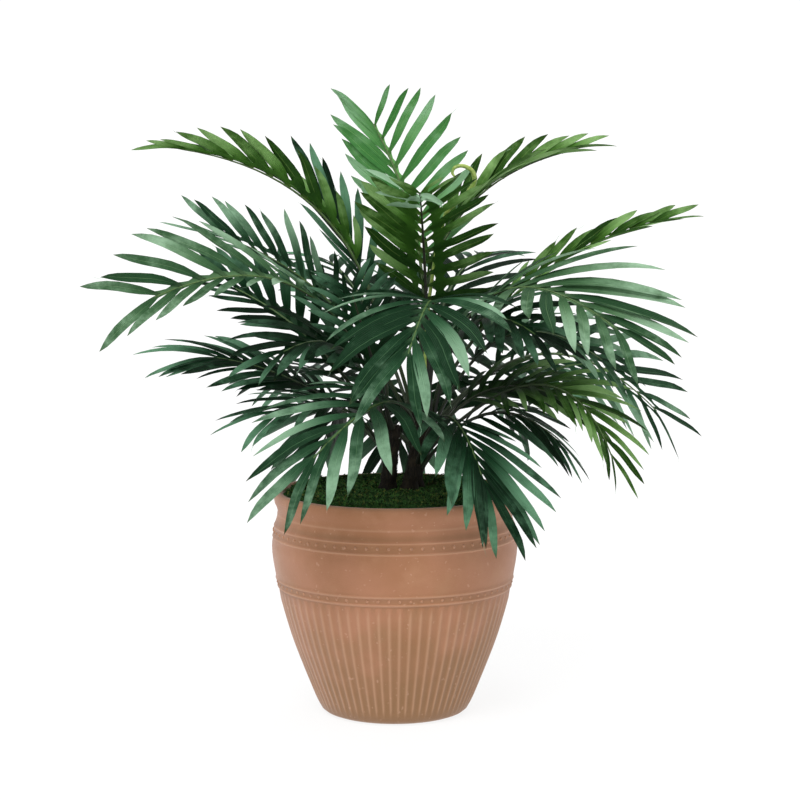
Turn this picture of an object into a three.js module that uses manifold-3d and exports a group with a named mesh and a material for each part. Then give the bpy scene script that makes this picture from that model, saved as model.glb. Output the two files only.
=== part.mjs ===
// Artificial parlor palm in a terracotta planter. Millimetres, +Z up, origin at the middle
// of the pot's flat underside, the photographed front towards -Y.
import * as THREE from "three";
import { mergeVertices } from "three/addons/utils/BufferGeometryUtils.js";
import Module from "manifold-3d";

const wasm = await Module();
wasm.setup();
const { Manifold, Mesh } = wasm;

// Pot: radius and height of its wall, up the outside, over the rim and down the inside.
const POT_SIDES = 56;
const POT_OUTSIDE = [
  [62, 0], [74, 5.2], [79.6, 17.6], [89.6, 42.4], [102.2, 76], [112, 108],
  [116.6, 129], [117.5, 129.6], [119.3, 137.4], [118.7, 138.1],
  [121.9, 153.4], [123.4, 171.7], [122.2, 179.6], [122.9, 180.2], [121.2, 190.6], [120.4, 192.2],
  [118.8, 197.4], [117.7, 203.2], [118.7, 209.8], [120.7, 216], [121, 222.4], [119.4, 224.5],
];
const POT_INSIDE = [[114, 224.5], [112.4, 222.8], [111.4, 200], [104, 110], [80, 36], [62, 10]];
const POT_FLOOR = 10;
const BEAD_RADIUS = 1.5;
const BEAD_BANDS = [[118.1, 133.6], [121.7, 185.6]];

// Fill and moss inside the pot.
const CLEARANCE = 0.4;
const FILL_TOP = 205;
const FILL_SIDES = 32;
const MOSS_EDGE = [[111.1, 205.4], [111.3, 221]];
const MOSS_RINGS = [105, 88, 66, 48];
const MOSS_SIDES = 30;
const MOSS_HEIGHT = 226.2;
const MOSS_LUMP = 1.3;
const MOSS_SEAT_RADIUS = 34;
const MOSS_SEAT_HEIGHT = 227;

// Stems: foot and head of each axis, and the radius along it with the flare at the foot.
const STEM_SIDES = 10;
const STEMS = {
  left: { foot: [-7, 2, 227.3], head: [0, 4, 290] },
  right: { foot: [14, -6, 227.3], head: [32, -4, 300] },
  back: { foot: [20, 17, 227.3], head: [24, 18, 306] },
};
const STEM_SHARES = [0, 0.08, 0.3, 0.7, 0.94, 1];
const STEM_RADII = [9.8, 8.4, 7.6, 7, 6.6, 5.2];

// Fronds: the rib is a parabola through foot, crest and tip, thinning towards the tip. Values under
// left or right hold for the leaflets of that hand alone.
const RIB_FOOT_RADIUS = 2.3;
const RIB_TIP_RADIUS = 1.1;
const RIB_STEPS = 6;
const RIB_GAP = 0.3;
const SEAT_STEP = 0.1;
const MIDDLE = 0.45;
const LEAFLET_WIDTH = 0.148;
const LEAFLET_THICKNESS = 1.3;
const LEAFLET_GAP = 0.3;
const JOIN_TOLERANCE = 0.02;
const SHORTER = [1, 0.85, 0.7, 0.55, 0.4];
const USUAL = {
  tone: "dark", turn: 0, leaf: 105, pairs: 10, bare: 0.3, spread: [68, 24], roll: 0, twist: 0,
  lift: 12, hang: 0.25, close: 0.12, start: 0.68, end: 0.75, left: {}, right: {},
};
const FRONDS = [
  { name: "centre_front", stem: "right", share: 0.93, crest: [32, -125, 423],
    tip: [13, -185, 381], tone: "mid", leaf: 118, pairs: 9, bare: 0.5, hang: 0.35, start: 0.8,
    end: 0.82 },
  { name: "centre_up", stem: "right", share: 0.95, turn: 42, crest: [28, -60, 479],
    tip: [24, -130, 528], tone: "olive", leaf: 78, pairs: 11, bare: 0.4, spread: [96, 44],
    roll: -10, heading: -90, lift: 8, hang: 0.05, start: 0.9, end: 0.5,
    right: { leaf: 98, spread: [50, 28], start: 0.68 } },
  { name: "top_back", stem: "back", share: 0.9, crest: [16, 50, 498], tip: [-22, 80, 589],
    tone: "fresh", leaf: 91, pairs: 9, bare: 0.5, spread: [60, 46], heading: 90, lift: 0, hang: 0,
    close: 0, start: 0.85, end: 0.56, left: { leaf: 92, spread: [42, 14], end: 0.7 } },
  { name: "left_front", stem: "left", share: 0.85, crest: [-107, -60, 438],
    tip: [-227, -125, 429], tone: "pale", leaf: 80, bare: 0.32, spread: [82, 14], roll: -20,
    twist: 75, hang: 0.12, start: 0.3, end: 1.12,
    right: { leaf: 106, spread: [49, 37], lift: 27, hang: 0.1, start: 0.5, end: 0.73 } },
  { name: "right_front", stem: "right", share: 0.95, turn: 35, crest: [114, -70, 433],
    tip: [212, -130, 398], tone: "pale", leaf: 146, bare: 0.35, spread: [46, 22], roll: -15,
    lift: 8, hang: 0.2, start: 0.5, end: 0.5,
    right: { leaf: 98, spread: [104, 34], lift: 12, hang: 0.32, start: 0.6, end: 0.8 } },
  { name: "low_front_left", stem: "right", share: 0.6, crest: [-6, -110, 327],
    tip: [-75, -190, 284], tone: "mid", leaf: 122, pairs: 8, bare: 0.28, spread: [68, 16],
    roll: 10, hang: 0.42, start: 0.6, end: 0.82, right: { hang: 0.35, end: 0.8 } },
  { name: "low_right_front", stem: "right", share: 0.4, crest: [55, -100, 310],
    tip: [84, -160, 257], leaf: 114, pairs: 8, bare: 0.5, spread: [54, 6], hang: 0.4, start: 0.75,
    end: 0.8, left: { leaf: 118, spread: [56, 20], lift: -6, hang: 0.2, start: 0.35 } },
  { name: "upper_left", stem: "left", share: 0.95, crest: [-93, -10, 520], tip: [-208, -30, 566],
    tone: "olive", leaf: 92, bare: 0.4, spread: [50, 14], lift: 52, hang: 0.16, close: 0.8,
    start: 0.6, end: 0.55, right: { lift: 28, hang: 0.5, end: 0.75 } },
  { name: "upper_right", stem: "back", share: 0.95, turn: -8, crest: [86, 50, 518],
    tip: [174, 70, 561], tone: "olive", leaf: 78, spread: [38, 16], lift: 50, close: 0.6,
    start: 0.35, end: 0.85, right: { lift: 35, hang: 0.5 } },
  { name: "right_upper", stem: "back", share: 0.8, crest: [149, 40, 440], tip: [264, 60, 490],
    tone: "olive", leaf: 70, spread: [30, 12], roll: -28, lift: 28, hang: 0.15, close: 0.4,
    start: 0.4, end: 0.85 },
  { name: "left_back", stem: "back", share: 0.8, crest: [-104, 60, 440], tip: [-173, 80, 473],
    tone: "mid", leaf: 80, bare: 0.4, spread: [42, 24], roll: 30, lift: 30, hang: 0, start: 0.7,
    end: 0.95 },
  { name: "right_low_back", stem: "back", share: 0.5, crest: [153, 70, 355], tip: [273, 110, 291],
    tone: "mid", leaf: 126, spread: [50, 34], roll: -32, hang: 0.1, start: 0.55, end: 0.66,
    right: { leaf: 100, spread: [58, 26], lift: -20, hang: 0.35 } },
  { name: "left_low_back", stem: "left", share: 0.6, crest: [-95, 10, 331], tip: [-177, 0, 358],
    leaf: 94, spread: [52, 22], roll: 16, lift: 8, hang: 0.3, start: 0.6, end: 0.95,
    right: { hang: 0.24 } },
  { name: "right_low_front", stem: "right", share: 0.5, crest: [170, -50, 328],
    tip: [212, -80, 268], tone: "olive", leaf: 84, roll: -15, hang: 0.2, start: 0.8, end: 0.66,
    right: { leaf: 70, spread: [72, 20], hang: 0.4 } },
  { name: "low_left", stem: "left", share: 0.4, crest: [-53, -60, 315], tip: [-112, -100, 316],
    leaf: 86, pairs: 8, spread: [60, 26], roll: 10, lift: 5, end: 0.85 },
  { name: "behind_upper_left", stem: "back", share: 0.95, crest: [-39, 60, 450],
    tip: [-74, 80, 506], leaf: 92, pairs: 6, bare: 0.5, spread: [36, 12], roll: 20, lift: 20,
    hang: 0, end: 1 },
  { name: "left_mid_back", stem: "left", share: 0.7, crest: [-96, 40, 382], tip: [-162, 60, 423],
    leaf: 84, pairs: 9, bare: 0.35, roll: 50, hang: 0.1, left: { leaf: 66, lift: 25 } },
  { name: "left_inner", stem: "left", share: 0.6, turn: 15, crest: [-68, -10, 375],
    tip: [-109, -40, 368], leaf: 88, pairs: 8, roll: 25 },
  { name: "right_mid", stem: "right", share: 0.75, crest: [134, -20, 386], tip: [203, -50, 361],
    tone: "mid", leaf: 80, pairs: 8, roll: -20, hang: 0.3 },
  { name: "right_inner", stem: "right", share: 0.8, turn: 60, crest: [94, -40, 402],
    tip: [136, -80, 389], leaf: 84, pairs: 8, roll: -20, hang: 0.3 },
  { name: "right_mid_low", stem: "right", share: 0.6, crest: [105, 0, 328], tip: [176, -20, 314],
    tone: "olive", leaf: 96, pairs: 9, spread: [56, 18], roll: -22, hang: 0.3 },
  { name: "right_under", stem: "right", share: 0.3, crest: [112, 10, 302], tip: [163, 20, 273],
    leaf: 92, pairs: 7, spread: [50, 16], hang: 0.35, right: { leaf: 80, lift: -50 } },
  { name: "left_mid_front", stem: "left", share: 0.98, crest: [-26, -50, 376],
    tip: [-41, -85, 429], leaf: 66, pairs: 8, bare: 0.35, spread: [60, 35], heading: -90,
    hang: 0.15 },
  { name: "back_up_left", stem: "back", share: 0.8, turn: 12, crest: [-34, 130, 405],
    tip: [-70, 220, 439], leaf: 100, pairs: 8 },
  { name: "back_up_right", stem: "back", share: 0.8, turn: -10, crest: [57, 110, 417],
    tip: [91, 200, 448], leaf: 100, pairs: 8 },
  { name: "back_left", stem: "back", share: 0.5, crest: [-78, 110, 334], tip: [-113, 210, 307],
    leaf: 100, pairs: 8 },
  { name: "back_right", stem: "back", share: 0.6, crest: [109, 110, 334], tip: [157, 210, 307],
    leaf: 100, pairs: 8 },
  { name: "back_mid", stem: "back", share: 0.7, turn: 10, crest: [31, 110, 388],
    tip: [49, 240, 357], pairs: 8, roll: -20 },
  { name: "back_low", stem: "back", share: 0.3, crest: [18, 70, 311], tip: [5, 120, 253],
    pairs: 8, bare: 0.2 },
  { name: "back_low_left", stem: "left", share: 0.3, crest: [-37, 50, 308], tip: [-75, 90, 259],
    leaf: 100, pairs: 8 },
  { name: "back_low_right", stem: "back", share: 0.2, crest: [81, 70, 311], tip: [133, 120, 272],
    leaf: 92, pairs: 8 },
];

// Young shoot, still rolled up, with a hooked end.
const SHOOT_STEPS = 28;
const SHOOT_PATH = [
  [32, -5, 300.7], [30, 2, 330], [33, 5, 400], [39, -8, 450], [45, -24, 482], [51, -39, 505],
  [62, -46, 516], [71, -52, 524], [77, -56, 534], [77, -59, 542], [73, -61, 548], [65, -62, 551],
  [58, -63, 549], [56, -64, 544], [59, -64, 540],
];
const SHOOT_RADII = [2, 1.9, 1.8, 1.8, 1.9, 2.2, 2.4, 2.6, 2.6, 2.4, 2.1, 1.9, 1.7, 1.4, 0.8];

const COLOURS = {
  pot: 0xad7a5c, fill: 0x4b3b2c, moss: 0x24401c, stem: 0x2a2118, shoot: 0x86a352,
  fresh: 0x3f7d4b, pale: 0x7d9f70, mid: 0x3a6e4e, dark: 0x1f4536, olive: 0x3f5a2c,
};

const UP = new THREE.Vector3(0, 0, 1);

function point(values) {
  return new THREE.Vector3(...values);
}

function radians(degrees) {
  return THREE.MathUtils.degToRad(degrees);
}

/** A value read off a list of shares and the values that go with them. */
function between(share, shares, values) {
  let k = 0;
  while (k + 2 < shares.length && share > shares[k + 1]) {
    k += 1;
  }
  const step = THREE.MathUtils.clamp((share - shares[k]) / (shares[k + 1] - shares[k]), 0, 1);
  return values[k] + (values[k + 1] - values[k]) * step;
}

/** A closed surface through rings of points, ending at each side in a point or a flat face. */
function loft(rings, start, end) {
  const count = rings[0].length;
  const points = rings.flat();
  const faces = [];
  for (let k = 0; k + 1 < rings.length; k += 1) {
    for (let j = 0; j < count; j += 1) {
      const a = k * count + j;
      const b = k * count + ((j + 1) % count);
      faces.push([a, b, b + count], [a, b + count, a + count]);
    }
  }
  const last = (rings.length - 1) * count;
  if (start) {
    points.push(start);
    for (let j = 0; j < count; j += 1) {
      faces.push([points.length - 1, (j + 1) % count, j]);
    }
  } else {
    for (let j = 1; j + 1 < count; j += 1) {
      faces.push([0, j + 1, j]);
    }
  }
  if (end) {
    points.push(end);
    for (let j = 0; j < count; j += 1) {
      faces.push([points.length - 1, last + j, last + ((j + 1) % count)]);
    }
  } else {
    for (let j = 1; j + 1 < count; j += 1) {
      faces.push([last, last + j, last + j + 1]);
    }
  }
  return new THREE.BufferGeometry().setFromPoints(points).setIndex(faces.flat());
}

/** A geometry as a solid that can be joined and measured. */
function solidOf(geometry) {
  geometry.deleteAttribute("normal");
  geometry.deleteAttribute("uv");
  const merged = mergeVertices(geometry, 0.001);
  const vertProperties = new Float32Array(merged.attributes.position.array);
  const triVerts = new Uint32Array(merged.index.array);
  return new Manifold(new Mesh({ numProp: 3, vertProperties, triVerts }));
}

/** A level circle of points. */
function circle(centre, radius, count) {
  const ring = [];
  for (let j = 0; j < count; j += 1) {
    const angle = (2 * Math.PI * j) / count;
    const reach = new THREE.Vector3(radius * Math.cos(angle), radius * Math.sin(angle), 0);
    ring.push(reach.add(centre));
  }
  return ring;
}

/** A turned body: from the axis round a profile of radii and heights to the axis again. */
function turned(profile, bottom, top, count) {
  const points = [[0, bottom], ...profile, [0, top]].map((pair) => new THREE.Vector2(...pair));
  return solidOf(new THREE.LatheGeometry(points, count).rotateX(Math.PI / 2));
}

function makePot() {
  const parts = [turned([...POT_OUTSIDE, ...POT_INSIDE], 0, POT_FLOOR, POT_SIDES)];
  for (const [radius, height] of BEAD_BANDS) {
    for (let j = 0; j < POT_SIDES; j += 1) {
      const bead = new THREE.OctahedronGeometry(BEAD_RADIUS).translate(radius, 0, height);
      parts.push(solidOf(bead.rotateZ((2 * Math.PI * (j + 0.5)) / POT_SIDES)));
    }
  }
  return Manifold.union(parts);
}

function makeFill() {
  const wall = POT_INSIDE.filter(([, height]) => height < FILL_TOP).reverse();
  const profile = wall.map(([radius, height]) => [radius - CLEARANCE, height + CLEARANCE]);
  const top = [wall.at(-1)[0] - CLEARANCE, FILL_TOP];
  return turned([...profile, top], POT_FLOOR + CLEARANCE, FILL_TOP, FILL_SIDES);
}

function makeMoss() {
  const centre = (height) => new THREE.Vector3(0, 0, height);
  const rings = MOSS_EDGE.map(([radius, height]) => circle(centre(height), radius, MOSS_SIDES));
  for (const radius of MOSS_RINGS) {
    const ring = circle(centre(MOSS_HEIGHT), radius, MOSS_SIDES);
    for (const p of ring) {
      const broad = Math.sin(p.x * 0.13 + 1) * Math.sin(p.y * 0.17);
      p.z += MOSS_LUMP * (broad + 0.5 * Math.sin(p.x * 0.31 - p.y * 0.23));
    }
    rings.push(ring);
  }
  rings.push(circle(centre(MOSS_SEAT_HEIGHT), MOSS_SEAT_RADIUS, MOSS_SIDES));
  return solidOf(loft(rings, centre(MOSS_EDGE[0][1]), centre(MOSS_SEAT_HEIGHT)));
}

function makeStem(stem) {
  const foot = point(stem.foot);
  const head = point(stem.head);
  const centre = (share) => foot.clone().lerp(head, share);
  return solidOf(loft(STEM_SHARES.map((share, k) => circle(centre(share), STEM_RADII[k], STEM_SIDES))));
}

/** Where a frond leaves its stem, just clear of the surface. */
function footOf(frond) {
  const stem = STEMS[frond.stem];
  const axis = point(stem.foot).lerp(point(stem.head), frond.share);
  const outward = point(frond.crest).sub(axis).setZ(0).normalize();
  outward.applyAxisAngle(UP, radians(frond.turn));
  const reach = between(frond.share, STEM_SHARES, STEM_RADII) + RIB_FOOT_RADIUS / 2 + frond.shift;
  return axis.addScaledVector(outward, reach);
}

/** The rib of a frond: its place, direction, sideways direction and upper face at each share. */
function ribOf(frond) {
  const foot = footOf(frond);
  const crest = point(frond.crest);
  const tip = point(frond.tip);
  const lower = foot.distanceTo(crest);
  const k = THREE.MathUtils.clamp(lower / (lower + crest.distanceTo(tip)), 0.3, 0.7);
  const at = (t) => new THREE.Vector3()
    .addScaledVector(foot, ((t - k) * (t - 1)) / k)
    .addScaledVector(crest, (t * (1 - t)) / (k * (1 - k)))
    .addScaledVector(tip, (t * (t - k)) / (1 - k));
  const level = tip.clone().sub(foot).setZ(0);
  if (frond.heading !== undefined) {
    level.set(Math.cos(radians(frond.heading)), Math.sin(radians(frond.heading)), 0);
  }
  const right = level.cross(UP).normalize();
  return (t) => {
    const twisted = Math.max(0, (t - frond.bare) / (1 - frond.bare));
    const roll = radians(frond.roll + frond.twist * twisted);
    const along = at(t + 0.001).sub(at(t - 0.001)).normalize();
    const side = right.clone().addScaledVector(along, -right.dot(along)).normalize();
    const face = side.clone().cross(along);
    side.applyAxisAngle(along, -roll);
    face.applyAxisAngle(along, -roll);
    return { at: at(t), along, side, face };
  };
}

function makeRib(frond) {
  const rib = ribOf(frond);
  const rings = [];
  for (let k = 0; k <= RIB_STEPS; k += 1) {
    const t = k / RIB_STEPS;
    const { at, side, face } = rib(t);
    const radius = RIB_FOOT_RADIUS + (RIB_TIP_RADIUS - RIB_FOOT_RADIUS) * t;
    rings.push([-90, 150, 30].map((angle) => at.clone()
      .addScaledVector(side, radius * Math.cos(radians(angle)))
      .addScaledVector(face, radius * Math.sin(radians(angle)))));
  }
  return solidOf(loft(rings));
}

/** The rib moved out from its stem until it stands just clear of it. */
function seatRib(frond, stem) {
  let rib = makeRib(frond);
  while (rib.minGap(stem, 2 * RIB_GAP) < RIB_GAP) {
    frond.shift += SEAT_STEP;
    rib = makeRib(frond);
  }
  return rib;
}

/** The leaflets of a frond, pair by pair up the rib, each with its line and its width. */
function leafletsOf(frond) {
  const rib = ribOf(frond);
  const leaflets = [];
  for (let i = 0; i <= frond.pairs; i += 1) {
    const u = i / frond.pairs;
    const t = frond.bare + (1 - frond.bare) * (0.03 + 0.95 * u);
    const { along, side, face } = rib(t);
    const step = Math.min(Math.floor(t * RIB_STEPS), RIB_STEPS - 1);
    const at = rib(step / RIB_STEPS).at.lerp(rib((step + 1) / RIB_STEPS).at, t * RIB_STEPS - step);
    for (const hand of [-1, 1]) {
      const own = { ...frond, ...(hand < 0 ? frond.left : frond.right) };
      const lift = radians(own.lift);
      const sweep = radians(THREE.MathUtils.lerp(...own.spread, u ** 1.2));
      const length = own.leaf * between(u, [0, 0.35, 0.7, 1], [own.start, 1, 0.97, own.end]);
      const out = side.clone().multiplyScalar(hand * Math.cos(lift));
      out.addScaledVector(face, Math.sin(lift));
      const ahead = along.clone().multiplyScalar(Math.cos(sweep));
      ahead.addScaledVector(out, Math.sin(sweep));
      const upper = out.clone().cross(along).multiplyScalar(hand);
      const across = upper.clone().cross(ahead).normalize();
      const line = (q) => at.clone()
        .addScaledVector(ahead, length * q)
        .addScaledVector(UP, -length * own.hang * q * q)
        .addScaledVector(along, length * own.close * q * q);
      leaflets.push({ line, across, upper: ahead.clone().cross(across), length });
    }
  }
  return leaflets;
}

/** One leaflet, keeled on its upper side, from inside the rib to its pointed tip. */
function makeLeaflet({ line, across, upper, length }, size) {
  const scale = size * length / line(1).distanceTo(line(0));
  const half = (LEAFLET_WIDTH * length * size) / 2;
  const middle = line(MIDDLE * scale);
  const section = [
    middle.clone().addScaledVector(across, half).addScaledVector(upper, -0.4 * LEAFLET_THICKNESS),
    middle.clone().addScaledVector(upper, 0.6 * LEAFLET_THICKNESS),
    middle.clone().addScaledVector(across, -half).addScaledVector(upper, -0.4 * LEAFLET_THICKNESS),
  ];
  return solidOf(loft([section], line(0), line(scale)));
}

/** Whether a solid keeps its distance from all placed ones but its own frond. */
function isFree(shape, owner, placed) {
  const box = shape.boundingBox();
  return placed.every((other) => {
    if (other.owner === owner) {
      return true;
    }
    const isApart = [0, 1, 2].some((axis) => box.min[axis] > other.box.max[axis] + LEAFLET_GAP
      || box.max[axis] < other.box.min[axis] - LEAFLET_GAP);
    return isApart || shape.minGap(other.shape, 2 * LEAFLET_GAP) >= LEAFLET_GAP;
  });
}

function makeShoot() {
  const path = new THREE.CatmullRomCurve3(SHOOT_PATH.map(point));
  const rings = [];
  const shares = SHOOT_RADII.map((radius, k) => k / (SHOOT_RADII.length - 1));
  for (let k = 0; k <= SHOOT_STEPS; k += 1) {
    const t = k / SHOOT_STEPS;
    const along = path.getTangent(t);
    const side = new THREE.Vector3(0, -1, 0).addScaledVector(along, along.y).normalize();
    const face = along.clone().cross(side);
    const radius = between(t, shares, SHOOT_RADII);
    const ring = [];
    for (let j = 0; j < 4; j += 1) {
      const angle = (2 * Math.PI * j) / 4;
      ring.push(path.getPoint(t)
        .addScaledVector(side, radius * Math.cos(angle))
        .addScaledVector(face, radius * Math.sin(angle)));
    }
    rings.push(ring);
  }
  return solidOf(loft(rings));
}

const group = new THREE.Group();

function addMesh(name, shape, colour, roughness) {
  const { vertProperties, triVerts } = shape.getMesh();
  const geometry = new THREE.BufferGeometry();
  geometry.setAttribute("position", new THREE.BufferAttribute(new Float32Array(vertProperties), 3));
  geometry.setIndex(new THREE.BufferAttribute(new Uint32Array(triVerts), 1));
  const material = new THREE.MeshStandardMaterial({ color: colour, roughness, metalness: 0 });
  const mesh = new THREE.Mesh(geometry, material);
  mesh.name = name;
  group.add(mesh);
}

const placed = [];

function place(owner, shape) {
  placed.push({ owner, shape, box: shape.boundingBox() });
}

const pot = makePot();
const moss = makeMoss();
addMesh("pot", pot, COLOURS.pot, 0.85);
addMesh("fill", makeFill(), COLOURS.fill, 0.95);
addMesh("moss", moss, COLOURS.moss, 0.95);
place("pot", pot);
place("moss", moss);
const stems = {};
for (const [name, stem] of Object.entries(STEMS)) {
  stems[name] = makeStem(stem);
  addMesh(`stem_${name}`, stems[name], COLOURS.stem, 0.9);
  place(name, stems[name]);
}
const shoot = makeShoot();
addMesh("curled_shoot", shoot, COLOURS.shoot, 0.6);
place("curled_shoot", shoot);

const fronds = FRONDS.map((values) => ({ ...USUAL, ...values, shift: 0 }));
for (const frond of fronds) {
  frond.pieces = [seatRib(frond, stems[frond.stem])];
  place(frond.name, frond.pieces[0]);
}
for (const frond of fronds) {
  for (const leaflet of leafletsOf(frond)) {
    for (const size of SHORTER) {
      const shape = makeLeaflet(leaflet, size);
      if (isFree(shape, frond.name, placed)) {
        frond.pieces.push(shape);
        place(frond.name, shape);
        break;
      }
    }
  }
  const whole = Manifold.union(frond.pieces).asOriginal().simplify(JOIN_TOLERANCE);
  addMesh(`frond_${frond.name}`, whole, COLOURS[frond.tone], 0.6);
}

export default group;
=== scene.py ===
import math
import random

import bmesh
import bpy
from mathutils import Matrix, Vector, noise


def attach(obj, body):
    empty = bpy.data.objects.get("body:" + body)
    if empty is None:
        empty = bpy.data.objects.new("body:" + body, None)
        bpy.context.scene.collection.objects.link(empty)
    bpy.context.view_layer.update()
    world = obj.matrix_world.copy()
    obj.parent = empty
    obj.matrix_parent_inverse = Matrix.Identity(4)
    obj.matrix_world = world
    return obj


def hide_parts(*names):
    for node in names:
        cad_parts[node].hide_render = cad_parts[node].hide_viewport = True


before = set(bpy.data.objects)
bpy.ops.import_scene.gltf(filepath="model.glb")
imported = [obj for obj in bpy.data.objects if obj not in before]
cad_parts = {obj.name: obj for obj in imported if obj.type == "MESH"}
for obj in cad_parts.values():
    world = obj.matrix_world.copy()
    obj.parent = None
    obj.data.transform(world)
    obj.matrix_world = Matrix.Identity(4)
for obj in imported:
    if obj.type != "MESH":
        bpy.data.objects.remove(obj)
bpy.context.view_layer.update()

# Planter
# A turned terracotta pot with two banded rows of beads and a fluted taper under them. An
# olive-brown wash lies in its grooves and was wiped off its raised lines while it was wet.

MILLIMETRE = 0.001
MERGE_DISTANCE = 0.0001
FLUTES = 70
FLUTE_COLUMNS = 6
FLUTE_RELIEF = {0: 1.0, 1: 0.4, 5: 0.4}
FLUTE_HEIGHT = 0.85
# Heights where the flutes start, are full, begin to fade and end.
FLUTE_ENDS = (7, 16, 122, 127)
# The outside of the fluted wall lies further out than this radius, which grows with height.
OUTSIDE_RADIUS = 70.13
OUTSIDE_SLOPE = 0.36
BEAD_RADIUS = 1.6
BEAD_WEAR = 0.7
BEAD_ROWS = ((117.5, 133.6), (121.2, 185.6))
# Radius, height and wear of the wall. Wear is 1 on a wiped line and -1 in a groove.
POT_WALL = (
    # Underside and foot.
    (0, 0, 0), (60, 0, 0), (66, 0.7, 0), (70.6, 2.4, 0), (74, 5.2, 0),
    # Fluted taper.
    (77.1, 11.4, 0), (79.6, 17.6, 0), (84.6, 30, 0), (89.6, 42.4, 0), (94.4, 54.8, 0),
    (99.1, 67.2, 0), (103.4, 79.5, 0), (107.2, 91.9, 0), (110.7, 104.2, 0), (114, 116.5, 0),
    # Lower band.
    (116, 125.5, -0.6), (116.4, 127.6, -0.8), (117.5, 128.6, 0.6), (118.1, 129.5, 1),
    (117.9, 130.4, 0.5), (117.7, 131.2, -0.7), (118.4, 135.9, -0.7), (119.2, 136.7, 0.6),
    (119.9, 137.6, 1), (119.7, 138.5, 0.5), (119.5, 139.6, -0.4),
    # Belly.
    (120, 143, 0), (121.9, 153.4, 0), (123.1, 163, 0), (123.4, 169, 0), (123.1, 174, 0),
    # Upper band.
    (122.4, 178, -0.2), (122.5, 178.9, 0.5), (123, 179.9, 1), (122.7, 180.9, 0.5),
    (122, 181.8, -0.6), (121, 188.9, -0.6), (121.2, 189.8, 0.5), (121.4, 190.6, 1),
    (120.9, 191.5, 0.3),
    # Neck, with one fine line.
    (120.3, 192.6, -0.5), (119.7, 194, -0.7), (119, 196, -0.6), (118.4, 198.4, -0.2),
    (117.9, 200.8, 0.2), (117.9, 202.4, 0.8), (117.5, 204, 0.3), (117.6, 206.5, 0),
    # Rolled rim.
    (118.7, 210, 0), (120.4, 213.5, 0), (121.1, 217.5, 0), (120.9, 221.4, 0.2),
    (120.1, 223.4, 0.4), (118.4, 224.5, 0.5), (115.6, 224.6, 0.4), (113.4, 223.8, 0.1),
    # Inside.
    (112.3, 222, -0.3), (111.7, 214, -0.6), (111.4, 200, -0.6), (104, 110, 0), (80, 36, 0),
    (62, 10, 0), (0, 10, 0),
)
# The clay, lighter and darker, the dust on it, the wash colour, which the pot also takes on towards
# the bottom, and the lines and specks the wash misses.
CLAY, CLAY_DARK, CLAY_DUST = "aa785b", "9d6d4d", "b18364"
WASH, WASH_IN_GROOVES, WIPED_LINE, SPECK = "83623f", "856344", "bf9476", "c9a088"
SHEEN = 0.4
SHEEN_ROUGHNESS = 0.5
SHEEN_TINT = (1, 0.86, 0.84, 1)


def paint(code):
    """A colour given as six hexadecimal digits, in the linear values that shaders take."""
    parts = [int(code[k:k + 2], 16) / 255 for k in (0, 2, 4)]
    return tuple(c / 12.92 if c <= 0.04045 else ((c + 0.055) / 1.055) ** 2.4 for c in parts)


class Shade:
    """A shader socket in an expression: arithmetic adds Math nodes and make adds any other node."""

    def __init__(self, tree, socket=None):
        self.tree = tree
        self.socket = socket

    def make(self, kind, settings=None, values=None, output=0):
        node = self.tree.nodes.new("ShaderNode" + kind)
        for name, setting in (settings or {}).items():
            setattr(node, name, setting)
        for name, value in (values or {}).items():
            if isinstance(value, Shade):
                self.tree.links.new(value.socket, node.inputs[name])
            elif isinstance(value, tuple) and node.inputs[name].type == "RGBA":
                node.inputs[name].default_value = (*value, 1)
            else:
                node.inputs[name].default_value = value
        return Shade(self.tree, node.outputs[output])

    def maths(self, operation, first, second):
        return self.make("Math", {"operation": operation}, {0: first, 1: second})

    def __add__(self, other):
        return self.maths("ADD", self, other)

    def __radd__(self, other):
        return self.maths("ADD", other, self)

    def __sub__(self, other):
        return self.maths("SUBTRACT", self, other)

    def __rsub__(self, other):
        return self.maths("SUBTRACT", other, self)

    def __mul__(self, other):
        return self.maths("MULTIPLY", self, other)

    def __rmul__(self, other):
        return self.maths("MULTIPLY", other, self)

    def __abs__(self):
        return self.make("Math", {"operation": "ABSOLUTE"}, {0: self})

    def rise(self, start, end):
        """0 below start, 1 above end and a smooth step between. Falls if end is below start."""
        values = {"Value": self, "From Min": start, "From Max": end}
        return self.make("MapRange", {"interpolation_type": "SMOOTHSTEP"}, values)

    def blend(self, low, high):
        """The colour low where this is 0 and high where it is 1."""
        return self.make("Mix", {"data_type": "RGBA"}, {0: self, 6: low, 7: high}, 2)

    def clouds(self, scale, detail, roughness):
        """Noise over this vector, about 0.5 on average."""
        values = {"Vector": self, "Scale": scale, "Detail": detail, "Roughness": roughness}
        return self.make("TexNoise", {}, values)

    def attribute(self, name):
        return self.make("Attribute", {"attribute_name": name}, {}, "Fac")

    def places(self):
        return self.make("TexCoord", {}, {}, "Object")


def new_finish(name, roughness=0.5, specular=0.5):
    """A material, its Principled shader and a Shade that starts expressions in it."""
    material = bpy.data.materials.new(name)
    material.use_nodes = True
    shader = material.node_tree.nodes["Principled BSDF"]
    shader.inputs["Roughness"].default_value = roughness
    shader.inputs["Specular IOR Level"].default_value = specular
    return material, shader, Shade(material.node_tree)


def feed(shader, colour, height=None, depth=0.001, roughness=None):
    """Links a colour to a shader, and where given a bump of a depth in metres and a roughness."""
    tree = colour.tree
    tree.links.new(colour.socket, shader.inputs["Base Color"])
    if height is not None:
        bump = height.make("Bump", {}, {"Height": height, "Distance": depth, "Strength": 1.0})
        tree.links.new(bump.socket, shader.inputs["Normal"])
    if roughness is not None:
        tree.links.new(roughness.socket, shader.inputs["Roughness"])


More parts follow.
